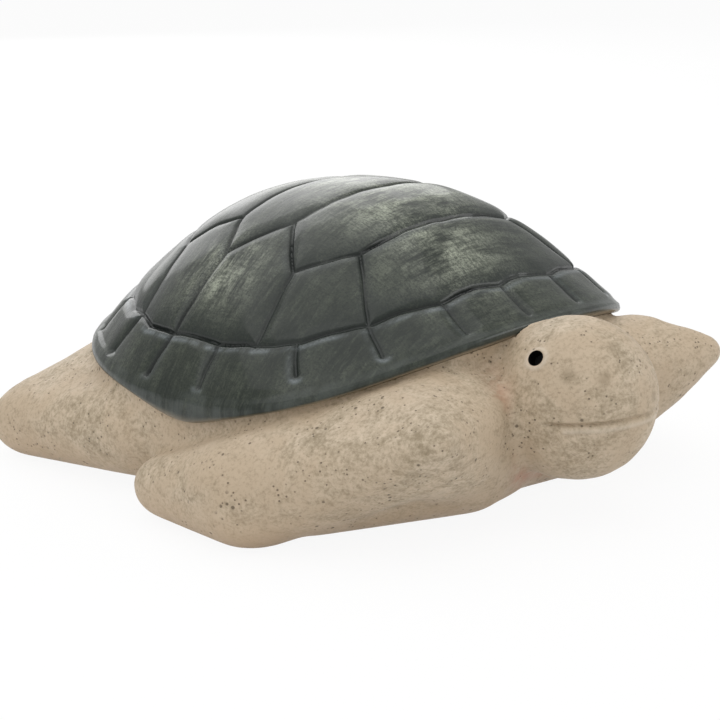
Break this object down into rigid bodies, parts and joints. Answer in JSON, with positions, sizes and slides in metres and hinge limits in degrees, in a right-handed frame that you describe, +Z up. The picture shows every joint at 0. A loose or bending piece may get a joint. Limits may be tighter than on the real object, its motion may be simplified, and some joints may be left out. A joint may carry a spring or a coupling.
{
  "type": "lidded turtle tub",
  "caption": "Ceramic sea turtle: a shallow clay tub with head and flippers, closed by its glazed green shell, which lifts off as the cover to give access to sand or small things.",
  "frame": {"origin": "middle of the belly on the resting plane, under the shell", "axes": "head towards -Y, +X to the turtle's left, +Z up"},
  "size_m": [0.2642, 0.2748, 0.1196],
  "materials": {
    "shell_glaze": "gloss, dark grey-green glaze brushed over raised scutes",
    "body_clay": "satin, cream slip with an olive wash and pinholes",
    "pad_felt": "matt felt"
  },
  "bodies": {
    "base": {"tub": "body_clay", "head": "body_clay", "front_left_flipper": "body_clay", "front_right_flipper": "body_clay", "rear_left_flipper": "body_clay", "rear_right_flipper": "body_clay", "belly_pad": "pad_felt", "front_left_pad": "pad_felt", "front_right_pad": "pad_felt", "rear_left_pad": "pad_felt", "rear_right_pad": "pad_felt"},
    "cover": {"shell_cover": "shell_glaze", "cover_flange": "shell_glaze"}
  },
  "joints": [
    {"name": "cover_lift", "type": "slide", "parent": "base", "child": "cover", "axis": [0, 0, 1], "range_m": [0, 0.08]}
  ]
}
